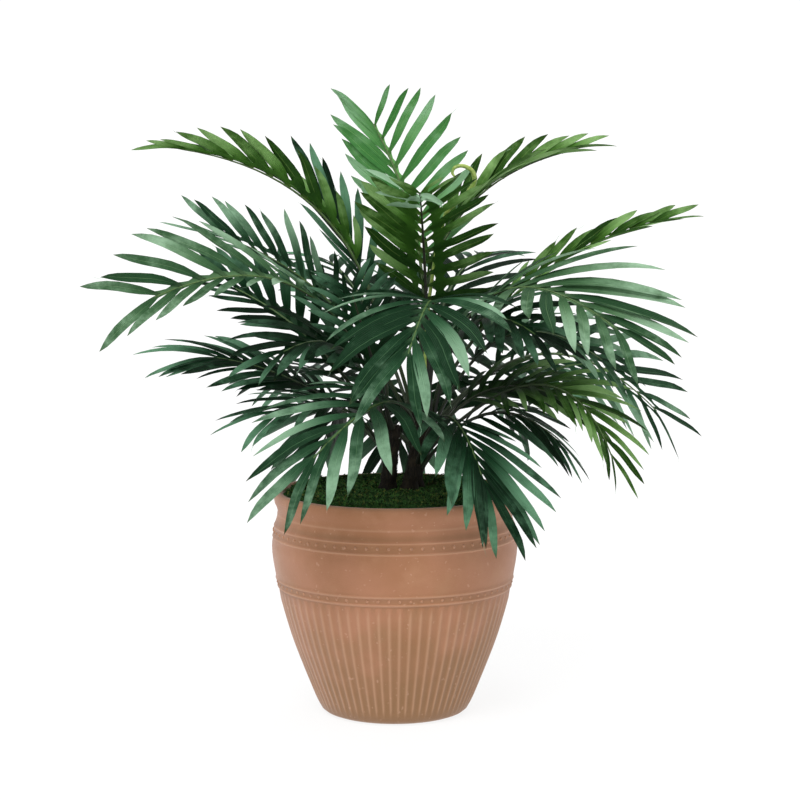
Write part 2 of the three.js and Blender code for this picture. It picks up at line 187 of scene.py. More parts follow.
def spun(bm, points, steps):
    """A profile of radii, heights and wear, spun round the upright axis and closed at its poles."""
    wear = bm.verts.layers.float.get("wear") or bm.verts.layers.float.new("wear")
    verts = []
    for radius, height, worn in points:
        vert = bm.verts.new((radius, 0, height))
        vert[wear] = worn
        verts.append(vert)
    edges = [bm.edges.new(pair) for pair in zip(verts, verts[1:])]
    bmesh.ops.spin(
        bm, geom=verts + edges, cent=(0, 0, 0), axis=(0, 0, 1), angle=math.tau, steps=steps,
        use_merge=True,
    )
    bmesh.ops.remove_doubles(bm, verts=bm.verts, dist=MERGE_DISTANCE)
    bmesh.ops.recalc_face_normals(bm, faces=bm.faces)
    return wear


def add_piece(name, bm, material, slot, *nodes, crease=40):
    """Brings a piece from millimetres to metres and puts it on the plant in place of its nodes."""
    bmesh.ops.scale(bm, vec=(MILLIMETRE,) * 3, verts=bm.verts)
    mesh = bpy.data.meshes.new(name)
    bm.to_mesh(mesh)
    bm.free()
    mesh.shade_smooth()
    mesh.set_sharp_from_angle(angle=math.radians(crease))
    mesh.materials.append(material)
    piece = bpy.data.objects.new(name, mesh)
    bpy.context.collection.objects.link(piece)
    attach(piece, "root")
    if nodes:
        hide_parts(*nodes)


def terracotta_finish():
    material, shader, start = new_finish("terracotta", specular=0.25)
    shader.inputs["Sheen Weight"].default_value = SHEEN
    shader.inputs["Sheen Roughness"].default_value = SHEEN_ROUGHNESS
    shader.inputs["Sheen Tint"].default_value = SHEEN_TINT
    places = start.places()
    wear = start.attribute("wear")
    height = start.make("SeparateXYZ", {}, {0: places}, "Z")
    cloud = places.clouds(9, 4, 0.55)
    mottle = places.clouds(38, 4, 0.6)
    grain = places.clouds(900, 3, 0.6)
    speck = places.clouds(210, 2, 0.5).rise(0.66, 0.74)
    clay = cloud.rise(0.36, 0.64).blend(paint(CLAY), paint(CLAY_DARK))
    clay = (mottle.rise(0.45, 0.75) * 0.5).blend(clay, paint(CLAY_DUST))
    # Patches of the wash colour, and the pot darker towards the bottom.
    wash_and_darker_low = (cloud * 0.3 + mottle * 0.3 - height * 2.4).rise(-0.06, 0.26) * 0.8
    clay = wash_and_darker_low.blend(clay, paint(WASH))
    clay = (wear.rise(0, -1) * 0.5).blend(clay, paint(WASH_IN_GROOVES))
    clay = (wear.rise(0.05, 1) * 0.5).blend(clay, paint(WIPED_LINE))
    clay = (speck * 0.35).blend(clay, paint(SPECK))
    relief, roughness = grain * 0.4 + mottle, 0.8 + mottle * 0.18
    feed(shader, clay, relief, depth=0.0007, roughness=roughness)
    return material


bm = bmesh.new()
wear = bm.verts.layers.float.new("wear")
for row_radius, row_height in BEAD_ROWS:
    place = Matrix.Translation((row_radius, 0, row_height))
    bead = bmesh.ops.create_uvsphere(
        bm, u_segments=8, v_segments=5, radius=BEAD_RADIUS, matrix=place
    )["verts"]
    for vert in bead:
        vert[wear] = BEAD_WEAR
    parts = bead + list({edge for vert in bead for edge in vert.link_edges})
    parts += list({face for vert in bead for face in vert.link_faces})
    angle = math.tau * (FLUTES - 1) / FLUTES
    bmesh.ops.spin(
        bm, geom=parts, cent=(0, 0, 0), axis=(0, 0, 1), angle=angle, steps=FLUTES - 1,
        use_duplicate=True,
    )
wear = spun(bm, POT_WALL, FLUTES * FLUTE_COLUMNS)
low, low_full, high_full, high = FLUTE_ENDS
for vert in bm.verts:
    radius = vert.co.xy.length
    outside = radius > OUTSIDE_RADIUS + OUTSIDE_SLOPE * vert.co.z
    turn = math.atan2(vert.co.y, vert.co.x) / math.tau
    column = round(turn * FLUTES * FLUTE_COLUMNS) % FLUTE_COLUMNS
    if low < vert.co.z < high and outside and column in FLUTE_RELIEF:
        rising, falling = vert.co.z - low, high - vert.co.z
        fade = min(rising / (low_full - low), falling / (high - high_full), 1)
        relief = FLUTE_RELIEF[column] * fade
        vert.co.xy *= 1 + FLUTE_HEIGHT * relief / radius
        vert[wear] = relief
add_piece("planter", bm, terracotta_finish(), "terracotta", "pot")

# Fill
# What the stems are set in, under the moss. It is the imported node, with a finish of coarse
# dark crumbs.

CRUMB_DARK, CRUMB_LIGHT = "30241a", "5d4936"


def fill_finish():
    material, shader, start = new_finish("fill", roughness=0.95)
    places = start.places()
    crumbs = places.clouds(160, 4, 0.7)
    colour = crumbs.rise(0.35, 0.7).blend(paint(CRUMB_DARK), paint(CRUMB_LIGHT))
    feed(shader, colour, crumbs, depth=0.002)
    return material


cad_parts["fill"].material_slots[0].material = fill_finish()

# Moss
# Dry preserved moss laid over the fill and pressed against the rim: a lumpy mat with short
# curved sprigs standing out of it, most of them dark green and some gone brown.

MOSS_RADIUS = 111.6
MOSS_LEVEL = 226
MOSS_EDGE = 96
MOSS_EDGE_DROP = 6
# Each size of lump: its height, how closely the lumps stand, and an offset that sets them apart.
MOSS_LUMPS = ((2.6, 0.045, 0), (1.3, 0.12, 9), (0.7, 0.35, 5))
MOSS_RINGS = 46
MOSS_STEPS = 160
MOSS_DARK, MOSS_LIGHT, MOSS_DEEP = "21451e", "568a40", "13260f"
MOSS_YELLOW, MOSS_BROWN = "7d8440", "3a2a18"
MAT_TINT = 0.2
MAT_TINT_RANGE = 0.3
SPRIGS = 9000
SPRIG_LENGTH = (3.0, 7.0)
SPRIG_WIDTH = 1.3
SPRIG_MARGIN = 3
SPRIG_SINK = 0.5
# How far along the middle of a sprig is, and how high its middle and tip rise, in its lengths.
SPRIG_MIDDLE = 0.35
SPRIG_MIDDLE_RISE = (0.2, 0.5)
SPRIG_TIP_RISE = (0.1, 0.6)
# Faces of a sprig, a fibre or a thread: a strip of four corners and the tip.
STRIP_FACES = [(0, 1, 2, 3), (3, 2, 4)]
dice = random.Random(11)


def moss_height(x, y):
    """The height of the mat, with its lumps and its rounded edge."""
    edge = max(0.0, (math.hypot(x, y) - MOSS_EDGE) / (MOSS_RADIUS - MOSS_EDGE))
    lumps = sum(
        height * noise.noise(Vector((x, y, offset)) * scale) for height, scale, offset in MOSS_LUMPS
    )
    return MOSS_LEVEL + lumps - MOSS_EDGE_DROP * edge ** 2


def moss_finish():
    material, shader, start = new_finish("moss", roughness=0.95, specular=0.2)
    places = start.places()
    tint = start.attribute("tint")
    cloud = places.clouds(45, 3, 0.6)
    fuzz = places.clouds(500, 3, 0.7)
    colour = tint.rise(0.0, 0.8).blend(paint(MOSS_DARK), paint(MOSS_LIGHT))
    colour = tint.rise(0.8, 0.95).blend(colour, paint(MOSS_YELLOW))
    colour = (cloud.rise(0.58, 0.7) * 0.6).blend(colour, paint(MOSS_BROWN))
    colour = (fuzz.rise(0.3, 0.75) * 0.6).blend(colour, paint(MOSS_DEEP))
    feed(shader, colour, fuzz, depth=0.0015)
    return material


def joined(name, groups, faces, values, material, slot, *nodes):
    """One piece of many small like things: groups of points in millimetres that share their faces.
    values gives names of attributes and one number a group."""
    points = [point * MILLIMETRE for group in groups for point in group]
    size = len(groups[0])
    starts = range(0, len(points), size)
    all_faces = [[start + corner for corner in face] for start in starts for face in faces]
    mesh = bpy.data.meshes.new(name)
    mesh.from_pydata(points, [], all_faces)
    for key, numbers in values.items():
        layer = mesh.attributes.new(key, "FLOAT", "POINT")
        layer.data.foreach_set("value", [number for number in numbers for _ in range(size)])
    mesh.shade_smooth()
    mesh.materials.append(material)
    piece = bpy.data.objects.new(name, mesh)
    bpy.context.collection.objects.link(piece)
    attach(piece, "root")
    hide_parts(*nodes)


def strip(root, middle, tip, half):
    """The points of a strip that STRIP_FACES joins, from its root over its middle to its tip."""
    return [root - half, root + half, middle + half, middle - half, tip]


moss = moss_finish()
bm = bmesh.new()
spun(bm, [(MOSS_RADIUS * k / MOSS_RINGS, 0, 0) for k in range(MOSS_RINGS + 1)], MOSS_STEPS)
tint = bm.verts.layers.float.new("tint")
for vert in bm.verts:
    vert.co.z = moss_height(vert.co.x, vert.co.y)
    vert[tint] = MAT_TINT + MAT_TINT_RANGE * noise.noise(vert.co * 0.2)
add_piece("moss_mat", bm, moss, "moss", "moss")

sprigs = []
for _ in range(SPRIGS):
    radius = (MOSS_RADIUS - SPRIG_MARGIN) * math.sqrt(dice.random())
    angle = dice.uniform(0, math.tau)
    root = Vector((radius * math.cos(angle), radius * math.sin(angle), 0))
    root.z = moss_height(root.x, root.y) - SPRIG_SINK
    heading = dice.uniform(0, math.tau)
    level = Vector((math.cos(heading), math.sin(heading), 0))
    half = Vector((-level.y, level.x, 0)) * SPRIG_WIDTH / 2
    length = dice.uniform(*SPRIG_LENGTH)
    middle = root + level * (length * SPRIG_MIDDLE)
    middle.z += length * dice.uniform(*SPRIG_MIDDLE_RISE)
    tip = root + level * length
    tip.z += length * dice.uniform(*SPRIG_TIP_RISE)
    sprigs.append(strip(root, middle, tip, half))
tints = [dice.random() for _ in sprigs]
joined("moss_sprigs", sprigs, STRIP_FACES, {"tint": tints}, moss, "moss", "moss")

# Stems
# Three short leaning stems of dark fibre wound over a core, each with overlapping old
# sheaths, a flare at its foot and loose fibres. They are pushed into the fill through the moss.

STEMS = {
    "left": ((-7, 2, 227.3), (0, 4, 290)),
    "right": ((14, -6, 227.3), (32, -4, 300)),
    "back": ((20, 17, 227.3), (24, 18, 306)),
}
STEM_SHARES = (0, 0.08, 0.3, 0.7, 0.94, 1)
STEM_RADII = (9.8, 8.4, 7.6, 7, 6.6, 5.2)
STEM_SIDES = 26
STEM_RINGS = 64
STEM_SUNK_SHARE = 0.06
# The sheaths along a stem, how far each winds up round it, and the radius between and at them.
STEM_SHEATHS = 5
SHEATH_LEAN = 0.125
SHEATH_LOW = 0.93
SHEATH_STEP = 0.13
STRAND_RELIEF = 0.07
FIBRES = 420
FIBRE_ROOT = 0.97
FIBRE_LENGTH = (5, 14)
FIBRE_HALF_WIDTH = 0.3
# How far a loose fibre stands out and aside at its middle, and out at its tip.
FIBRE_MIDDLE_OUT = (0.3, 1.6)
FIBRE_MIDDLE_ASIDE = (-1.5, 1.5)
FIBRE_TIP_OUT = (0.2, 4)
STEM_DARK, STEM_LIGHT, STEM_PATCH = "0c0a07", "2b2318", "3f3624"
UP = Vector((0, 0, 1))


def between(share, shares, values):
    """A value read off a list of shares and the values that go with them."""
    for k in range(len(shares) - 1):
        if share <= shares[k + 1] or k == len(shares) - 2:
            step = min(max((share - shares[k]) / (shares[k + 1] - shares[k]), 0), 1)
            return values[k] + (values[k + 1] - values[k]) * step


def tube(bm, rings, sides, relief=None):
    """A closed tube through rings of (centre, half width as a vector, half height as a vector). The
    turn of each vertex is kept, and relief scales its distance by ring and turn."""
    turn = bm.verts.layers.float.get("turn") or bm.verts.layers.float.new("turn")
    ring = bmesh.ops.create_circle(bm, cap_ends=True, segments=sides, radius=1)["verts"]
    for vert in ring:
        vert[turn] = math.atan2(vert.co.y, vert.co.x)
    edges = list({edge for vert in ring for edge in vert.link_edges})
    for k, (centre, across, upwards) in enumerate(rings):
        if k:
            grown = bmesh.ops.extrude_edge_only(bm, edges=edges)["geom"]
            ring = [item for item in grown if isinstance(item, bmesh.types.BMVert)]
            edges = [item for item in grown if isinstance(item, bmesh.types.BMEdge)]
            rim = set(ring)
            edges = [edge for edge in edges if edge.verts[0] in rim and edge.verts[1] in rim]
        for vert in ring:
            scale = relief(k, vert[turn]) if relief else 1
            offset = across * math.cos(vert[turn]) + upwards * math.sin(vert[turn])
            vert.co = centre + offset * scale
    bmesh.ops.edgeloop_fill(bm, edges=edges)


def stem_finish():
    material, shader, start = new_finish("stem_fibre", roughness=0.85, specular=0.3)
    places = start.places()
    drawn_out = start.make("Mapping", {}, {"Vector": places, "Scale": (1, 1, 0.12)})
    strands = drawn_out.clouds(900, 3, 0.6)
    patches = places.clouds(60, 3, 0.6)
    colour = strands.rise(0.35, 0.7).blend(paint(STEM_DARK), paint(STEM_LIGHT))
    colour = (patches.rise(0.5, 0.7) * 0.5).blend(colour, paint(STEM_PATCH))
    feed(shader, colour, strands, depth=0.0015)
    return material


def sheath_relief(k, turn):
    """How far the sheaths and strands stand out at a ring and a turn of a stem."""
    sheath = (k / STEM_RINGS * STEM_SHEATHS + SHEATH_LEAN * math.sin(turn + 4)) % 1
    strand = noise.noise(Vector((6 * math.cos(turn), 6 * math.sin(turn), 0.1 * k)))
    return SHEATH_LOW + SHEATH_STEP * (1 - sheath) ** 2 + STRAND_RELIEF * strand


fibre = stem_finish()
for name, (foot, head) in STEMS.items():
    foot, head = Vector(foot), Vector(head)
    rings = []
    for k in range(STEM_RINGS + 1):
        share = (1 + STEM_SUNK_SHARE) * k / STEM_RINGS - STEM_SUNK_SHARE
        radius = between(share, STEM_SHARES, STEM_RADII)
        rings.append((foot.lerp(head, share), Vector((radius, 0, 0)), Vector((0, radius, 0))))
    bm = bmesh.new()
    tube(bm, rings, STEM_SIDES, sheath_relief)
    bmesh.ops.recalc_face_normals(bm, faces=bm.faces)
    add_piece("fibre_stem_" + name, bm, fibre, "stem", "stem_" + name, crease=60)

fibres = []
for k in range(FIBRES):
    foot, head = [Vector(end) for end in list(STEMS.values())[k % len(STEMS)]]
    share = dice.random()
    angle = dice.uniform(0, math.tau)
    outward = Vector((math.cos(angle), math.sin(angle), 0))
    across = UP.cross(outward)
    radius = FIBRE_ROOT * between(share, STEM_SHARES, STEM_RADII)
    root = foot.lerp(head, share) + outward * radius
    rise = (head - foot).normalized() * dice.uniform(*FIBRE_LENGTH)
    middle = root + rise * 0.5 + outward * dice.uniform(*FIBRE_MIDDLE_OUT)
    middle += across * dice.uniform(*FIBRE_MIDDLE_ASIDE)
    tip = root + rise + outward * dice.uniform(*FIBRE_TIP_OUT)
    fibres.append(strip(root, middle, tip, across * FIBRE_HALF_WIDTH))
stem_nodes = ["stem_" + name for name in STEMS]
joined("loose_fibres", fibres, STRIP_FACES, {}, fibre, "stem", *stem_nodes)

# Fronds
# Each frond is a wire rib in soft green plastic, with pairs of woven fabric leaflets fused to it.
# They are cut to a point, creased and pressed with fine veins. Webs join neighbours, at the rib
# or with a window beside it. Some tips fray into threads, and a few pale leaflets curl.

RIB_FOOT_RADIUS = 2.3
RIB_SINK = 2.5
RIB_STEPS = 26
RIB_SIDES = 8
RIB_HALF_WIDTHS = ((0, 0.06, 0.3, 1), (3.2, 2.2, 1.9, 0.7))
RIB_FLATNESS = 0.85
RIB_BEND_LIMITS = (0.3, 0.7)
# Steps to either side between which the direction of a rib and of a leaflet is taken.
RIB_NUDGE = 0.001
BLADE_NUDGE = 0.01
FIRST_LEAFLET = 0.03
LAST_LEAFLET = 0.98
LEAFLET_SHARES = (0, 0.35, 0.7, 1)
SPREAD_CURVE = 1.2
# How far a leaflet strays from the rule, in degrees and in shares.
SPREAD_STRAY = 3.5
LIFT_STRAY = 5
TWIST_STRAY = 18
SIZE_STRAY = (0.95, 1.03)
HANG_STRAY = (-0.05, 0.07)
FRAYED_SHARE = 0.22
FRAYED_FROM = 0.95
THREAD_LENGTH = (7, 15)
THREAD_WIDTH = 0.35
THREAD_ASIDE = (-4, 4)
THREAD_DROP = (0, 3)
THREAD_BEND = (-1.5, 1.5)
# Columns and rows of a blade, its width at each row, and its full width as a share of its length.
BLADE_COLUMNS = (-1, -0.5, 0, 0.5, 1)
BLADE_ROWS = (0, 0.06, 0.15, 0.27, 0.41, 0.55, 0.69, 0.81, 0.91, 1)
BLADE_WIDTHS = (0.36, 0.4, 0.62, 0.88, 1, 1, 0.95, 0.8, 0.5, 0)
BLADE_WIDTH = 0.136
BLADE_SWAY = 0.06
BLADE_WAVE = 0.012
BLADE_WAVES = 9
BLADE_FOLD = 0.28
WEB_COLUMNS = 5
WEB_DIPS = (0.15, 0.5)
WEB_ACROSS = 0.6
# A frond leaves its stem at a share of it, turned some degrees round it, and its rib runs over
# crest to tip, facing heading. From bare on it has pairs of leaflets as long as leaf, and start
# and end times that at its two ends. They open by the degrees of spread, lift out of its face,
# hang down and close forwards. The face rolls, and twists along the rib. Neighbours are joined
# over the shares of web, wide scales their widths, and left and right hold what differs there.
# A frond's tone picks a copy of the leaf colours, painted lighter or darker by how the frond is
# lit.
USUAL = {
    "tone": "dark", "turn": 0, "heading": None, "bare": 0.3, "pairs": 10, "leaf": 105,
    "start": 0.68, "end": 0.75, "spread": (68, 24), "lift": 12, "hang": 0.25, "close": 0.12,
    "roll": 0, "twist": 0, "web": (0, 0.085), "wide": 1, "left": {}, "right": {},
}
FRONDS = {
    "centre_front": dict(
        stem="right", share=0.93, crest=(32, -125, 423), tip=(13, -185, 381), tone="mid",
        leaf=118, pairs=9, bare=0.5, hang=0.35, start=0.8, end=0.82, wide=0.85,
    ),
    "centre_up": dict(
        stem="right", share=0.95, turn=42, crest=(28, -60, 479), tip=(24, -130, 528),
        tone="olive", leaf=78, pairs=11, bare=0.4, spread=(96, 44), roll=-10, heading=-90, lift=8,
        hang=0.05, start=0.9, end=0.5, web=(0.1, 0.42),
        right=dict(leaf=98, spread=(50, 28), start=0.68),
    ),
    "top_back": dict(
        stem="back", share=0.9, crest=(16, 50, 498), tip=(-22, 80, 589), tone="fresh", leaf=91,
        pairs=9, bare=0.5, spread=(60, 46), heading=90, lift=0, hang=0, close=0, start=0.85,
        end=0.56, wide=0.85, left=dict(leaf=92, spread=(42, 14), end=0.7),
    ),
    "left_front": dict(
        stem="left", share=0.85, crest=(-107, -60, 438), tip=(-227, -125, 429), tone="pale",
        leaf=80, bare=0.32, spread=(82, 14), roll=-20, twist=75, hang=0.12, start=0.3, end=1.12,
        web=(0, 0.15), wide=0.85,
        right=dict(leaf=106, spread=(49, 37), lift=27, hang=0.1, start=0.5, end=0.73),
    ),
    "right_front": dict(
        stem="right", share=0.95, turn=35, crest=(114, -70, 433), tip=(212, -130, 398),
        tone="pale", leaf=146, bare=0.35, spread=(46, 22), roll=-15, lift=8, hang=0.2, start=0.5,
        end=0.5, web=(0, 0.17),
        right=dict(leaf=98, spread=(104, 34), lift=12, hang=0.32, start=0.6, end=0.8),
    ),
    "low_front_left": dict(
        stem="right", share=0.6, crest=(-6, -110, 327), tip=(-75, -190, 284), tone="mid",
        leaf=122, pairs=8, bare=0.28, spread=(68, 16), roll=10, hang=0.42, start=0.6, end=0.82,
        wide=0.78, right=dict(hang=0.35, end=0.8),
    ),
    "low_right_front": dict(
        stem="right", share=0.4, crest=(55, -100, 310), tip=(84, -160, 257), leaf=114, pairs=8,
        bare=0.5, spread=(54, 6), hang=0.4, start=0.75, end=0.8, wide=0.8,
        left=dict(leaf=118, spread=(56, 20), lift=-6, hang=0.2, start=0.35),
    ),
    "upper_left": dict(
        stem="left", share=0.95, crest=(-93, -10, 520), tip=(-208, -30, 566), tone="olive",
        leaf=92, bare=0.4, spread=(50, 14), lift=52, hang=0.16, close=0.8, start=0.6, end=0.55,
        web=(0.1, 0.42), right=dict(lift=28, hang=0.5, end=0.75),
    ),
    "upper_right": dict(
        stem="back", share=0.95, turn=-8, crest=(86, 50, 518), tip=(174, 70, 561), tone="olive",
        leaf=78, spread=(38, 16), lift=50, close=0.6, start=0.35, end=0.85, web=(0.1, 0.42),
        right=dict(lift=35, hang=0.5),
    ),
    "right_upper": dict(
        stem="back", share=0.8, crest=(149, 40, 440), tip=(264, 60, 490), tone="olive", leaf=70,
        spread=(30, 12), roll=-28, lift=28, hang=0.15, close=0.4, start=0.4, end=0.85,
        web=(0.1, 0.42),
    ),
    "left_back": dict(
        stem="back", share=0.8, crest=(-104, 60, 440), tip=(-173, 80, 473), tone="mid", leaf=80,
        bare=0.4, spread=(42, 24), roll=30, lift=30, hang=0, start=0.7, end=0.95,
        web=(0.08, 0.32), wide=0.72,
    ),
    "right_low_back": dict(
        stem="back", share=0.5, crest=(153, 70, 355), tip=(273, 110, 291), tone="mid", leaf=126,
        spread=(50, 34), roll=-32, hang=0.1, start=0.55, end=0.66, web=(0.08, 0.3), wide=0.62,
        right=dict(leaf=100, spread=(58, 26), lift=-20, hang=0.35),
    ),
    "left_low_back": dict(
        stem="left", share=0.6, crest=(-95, 10, 331), tip=(-177, 0, 358), leaf=94,
        spread=(52, 22), roll=16, lift=8, hang=0.3, start=0.6, end=0.95, web=(0, 0.26), wide=0.85,
        right=dict(hang=0.24),
    ),
    "right_low_front": dict(
        stem="right", share=0.5, crest=(170, -50, 328), tip=(212, -80, 268), tone="olive",
        leaf=84, roll=-15, hang=0.2, start=0.8, end=0.66, wide=0.82,
        right=dict(leaf=70, spread=(72, 20), hang=0.4),
    ),
    "low_left": dict(
        stem="left", share=0.4, crest=(-53, -60, 315), tip=(-112, -100, 316), leaf=86, pairs=8,
        spread=(60, 26), roll=10, lift=5, end=0.85, wide=0.8,
    ),
    "behind_upper_left": dict(
        stem="back", share=0.95, crest=(-39, 60, 450), tip=(-74, 80, 506), leaf=92, pairs=6,
        bare=0.5, spread=(36, 12), roll=20, lift=20, hang=0, end=1, wide=0.8,
    ),
    "left_mid_back": dict(
        stem="left", share=0.7, crest=(-96, 40, 382), tip=(-162, 60, 423), leaf=84, pairs=9,
        bare=0.35, roll=50, hang=0.1, web=(0, 0.26), left=dict(leaf=66, lift=25),
    ),
    "left_inner": dict(
        stem="left", share=0.6, turn=15, crest=(-68, -10, 375), tip=(-109, -40, 368), leaf=88,
        pairs=8, roll=25, web=(0, 0.26),
    ),
    "right_mid": dict(
        stem="right", share=0.75, crest=(134, -20, 386), tip=(203, -50, 361), tone="mid", leaf=80,
        pairs=8, roll=-20, hang=0.3, web=(0, 0.26),
    ),
    "right_inner": dict(
        stem="right", share=0.8, turn=60, crest=(94, -40, 402), tip=(136, -80, 389), leaf=84,
        pairs=8, roll=-20, hang=0.3, web=(0, 0.26),
    ),
    "right_mid_low": dict(
        stem="right", share=0.6, crest=(105, 0, 328), tip=(176, -20, 314), tone="olive", leaf=96,
        pairs=9, spread=(56, 18), roll=-22, hang=0.3, web=(0, 0.26), wide=0.8,
    ),
    "right_under": dict(
        stem="right", share=0.3, crest=(112, 10, 302), tip=(163, 20, 273), leaf=92, pairs=7,
        spread=(50, 16), hang=0.35, wide=0.7, right=dict(leaf=80, lift=-50),
    ),
    "left_mid_front": dict(
        stem="left", share=0.98, crest=(-26, -50, 376), tip=(-41, -85, 429), leaf=66, pairs=8,
        bare=0.35, spread=(60, 35), heading=-90, hang=0.15, web=(0, 0.26),
    ),
    "back_up_left": dict(
        stem="back", share=0.8, turn=12, crest=(-34, 130, 405), tip=(-70, 220, 439), leaf=100,
        pairs=8,
    ),
    "back_up_right": dict(
        stem="back", share=0.8, turn=-10, crest=(57, 110, 417), tip=(91, 200, 448), leaf=100,
        pairs=8,
    ),
    "back_left": dict(
        stem="back", share=0.5, crest=(-78, 110, 334), tip=(-113, 210, 307), leaf=100, pairs=8,
    ),
    "back_right": dict(
        stem="back", share=0.6, crest=(109, 110, 334), tip=(157, 210, 307), leaf=100, pairs=8,
    ),
    "back_mid": dict(
        stem="back", share=0.7, turn=10, crest=(31, 110, 388), tip=(49, 240, 357), pairs=8,
        roll=-20,
    ),
    "back_low": dict(
        stem="back", share=0.3, crest=(18, 70, 311), tip=(5, 120, 253), pairs=8, bare=0.2,
    ),
    "back_low_left": dict(
        stem="left", share=0.3, crest=(-37, 50, 308), tip=(-75, 90, 259), leaf=100, pairs=8,
    ),
    "back_low_right": dict(
        stem="back", share=0.2, crest=(81, 70, 311), tip=(133, 120, 272), leaf=92, pairs=8,
    ),
}
# The curled leaflets near the tip of the frond that stands up: each one's share of the rib, its
# length, heading and rise in degrees, how far it hangs, and how many degrees it turns.
CURLED_LEAFLETS = (
    (0.97, 60, 192, 32, 0.1, 40), (0.94, 46, 196, 20, 0.15, -30), (0.9, 36, 200, 8, 0.1, 60),
    (0.985, 26, 345, 8, 0.5, 70), (0.96, 17, 205, 12, 0.5, 90), (0.95, 22, 350, 26, 0.7, -50),
)
CURLED_WIDTH = 6.2
CURLED_FOLD = 0.4
# The curled leaflets' attributes for the leaf finish: their high tint and share along give them the
# painted highlight of an outer half.
CURLED_LOOK = {"across": 0.4, "along": 0.7, "tint": 0.9}
# For each tone the colours in shade, in light, along the middle, on the outer half and at the
# edge. The tones are copies of one fabric, lighter or darker by how each frond is lit: painted
# light and shade, brightest for the frond at the top with light behind it and dark for the shaded
# low, inner and back fronds. The colour on the outer half is a painted highlight, and the one at
# the edge is partly a real darker frayed outline and partly painted shade between leaflets.
LEAF_COLOURS = {
    "fresh": ("3c7a3a", "6ba862", "8cc06a", "94bf98", "3d7040"),
    "pale": ("274a2d", "598457", "86aa78", "acd0b0", "2a4829"),
    "mid": ("16351f", "3f6e4b", "6c9a6c", "a0c8a6", "1b3b25"),
    "dark": ("091f10", "1b482a", "3a683f", "72a481", "091d10"),
    "olive": ("1d3f10", "54882f", "86a657", "9cc680", "1c3111"),
}
# Painted shade for leaves near the middle of the crown, and the brown of dry tips.
LEAF_CORE_SHADE, DRY_TIP = "0a260e", "4a3b22"
LEAF_VEINS = 26
LEAF_TRANSLUCENCY = 0.22
# The ribs' colours underneath, on top, in streaks, and in painted shade near the middle of the
# crown.
RIB_UNDER, RIB_UPPER, RIB_STREAK, RIB_CORE_SHADE = "1d1a0f", "4d6a34", "2f4420", "0b1009"
THREAD_DARK, THREAD_LIGHT = "5f8468", "9dbba3"
# The middle of the crown, in metres, round which leaves and ribs are darkened with painted shade.
CROWN_CORE = (0.02, 0.03, 0.31)


def rib_of(frond):
    """The rib as a function of its share: the place, and the directions along it, to its right and
    up out of its upper face."""
    foot, head = [Vector(end) for end in STEMS[frond["stem"]]]
    axis = foot.lerp(head, frond["share"])
    crest, tip = Vector(frond["crest"]), Vector(frond["tip"])
    outward = ((crest - axis) * Vector((1, 1, 0))).normalized()
    outward.rotate(Matrix.Rotation(math.radians(frond["turn"]), 3, "Z"))
    stem_radius = between(frond["share"], STEM_SHARES, STEM_RADII)
    start = axis + outward * (stem_radius + RIB_FOOT_RADIUS / 2)
    lower = (crest - start).length
    least, most = RIB_BEND_LIMITS
    bend = min(max(lower / (lower + (tip - crest).length), least), most)
    level = (tip - start) * Vector((1, 1, 0))
    if frond["heading"] is not None:
        heading = math.radians(frond["heading"])
        level = Vector((math.cos(heading), math.sin(heading), 0))
    right = level.cross(UP).normalized()

    def at(t):
        return (
            start * ((t - bend) * (t - 1) / bend)
            + crest * (t * (1 - t) / (bend * (1 - bend)))
            + tip * (t * (t - bend) / (1 - bend))
        )

    def rib(t):
        along = (at(t + RIB_NUDGE) - at(t - RIB_NUDGE)).normalized()
        side = (right - along * right.dot(along)).normalized()
        face = side.cross(along)
        twisted = max(0, (t - frond["bare"]) / (1 - frond["bare"]))
        roll = math.radians(frond["roll"] + frond["twist"] * twisted)
        rolled_side = side * math.cos(roll) + face * math.sin(roll)
        rolled_face = face * math.cos(roll) - side * math.sin(roll)
        return at(t), along, rolled_side, rolled_face

    return rib


def leaflets_of(frond):
    """The leaflets of a frond: each one's hand, then what blade_line and the blade take."""
    rib = rib_of(frond)
    for i in range(frond["pairs"] + 1):
        u = i / frond["pairs"]
        share = FIRST_LEAFLET + (LAST_LEAFLET - FIRST_LEAFLET) * u
        t = frond["bare"] + (1 - frond["bare"]) * share
        at, along, side, face = rib(t)
        for hand, name in ((-1, "left"), (1, "right")):
            own = {**frond, **frond[name]}
            lengths = (own["start"], 1, 0.97, own["end"])
            length = own["leaf"] * between(u, LEAFLET_SHARES, lengths)
            widest, closest = own["spread"]
            sweep = widest + (closest - widest) * u ** SPREAD_CURVE
            sweep = math.radians(sweep + dice.uniform(-SPREAD_STRAY, SPREAD_STRAY))
            lift = math.radians(own["lift"] + dice.uniform(-LIFT_STRAY, LIFT_STRAY))
            out = side * hand * math.cos(lift) + face * math.sin(lift)
            ahead = along * math.cos(sweep) + out * math.sin(sweep)
            upper = out.cross(along) * hand
            across = upper.cross(ahead).normalized()
            size = length * dice.uniform(*SIZE_STRAY)
            hang = own["hang"] + dice.uniform(*HANG_STRAY)
            yield hand, at, ahead, along, across, size, hang, own["close"]


def blade_line(at, ahead, along, size, hang, close):
    """The centre line of a leaflet, bent down and forwards, with its chord as long as size."""
    def line(q):
        bent = along * close - UP * hang
        return at + ahead * (size * q) + bent * (size * q * q)

    scale = size / (line(1) - line(0)).length
    return lambda q: line(q * scale)


